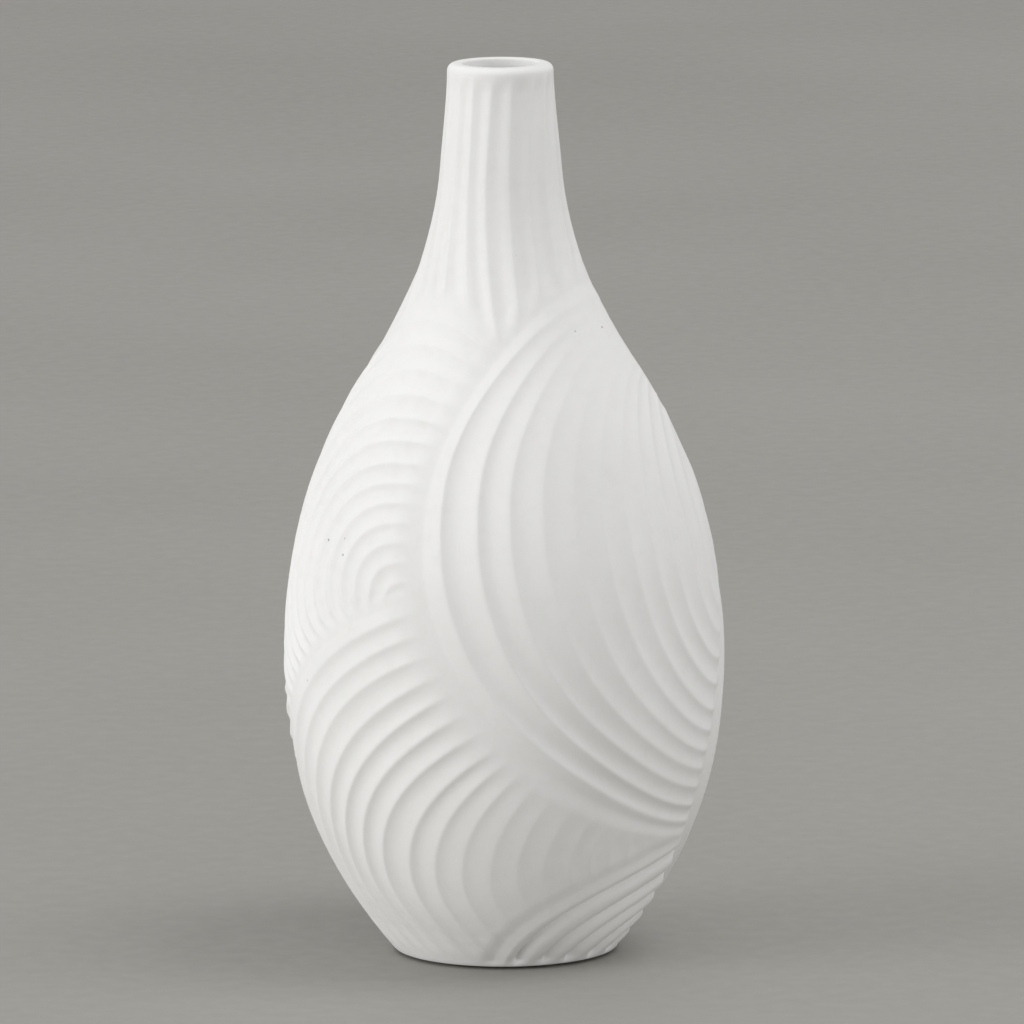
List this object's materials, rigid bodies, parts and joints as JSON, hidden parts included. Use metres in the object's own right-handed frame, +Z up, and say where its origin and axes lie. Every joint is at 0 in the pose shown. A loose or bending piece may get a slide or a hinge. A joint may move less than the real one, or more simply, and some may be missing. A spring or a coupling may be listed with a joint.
{
  "type": "ceramic bud vase",
  "caption": "Matte white slip-cast bud vase: an egg-shaped body with overlapping fans of carved ribs, a slender fluted neck and a small round mouth.",
  "frame": {"origin": "on the vase's axis, on the plane that its foot pads stand on", "axes": "+Z up along the axis, out of the mouth; -Y is the front, the side with the large crescent of ribs, and +X is to the right of someone facing it"},
  "size_m": [0.1188, 0.1188, 0.2408],
  "materials": {
    "bisque": "matte unglazed bisque",
    "clear_glaze": "clear gloss glaze over white clay",
    "bumper": "translucent white silicone"
  },
  "bodies": {
    "root": {"vase_body": "bisque", "interior_glaze": "clear_glaze", "foot_pad_1": "bumper", "foot_pad_2": "bumper", "foot_pad_3": "bumper", "foot_pad_4": "bumper"}
  },
  "joints": []
}
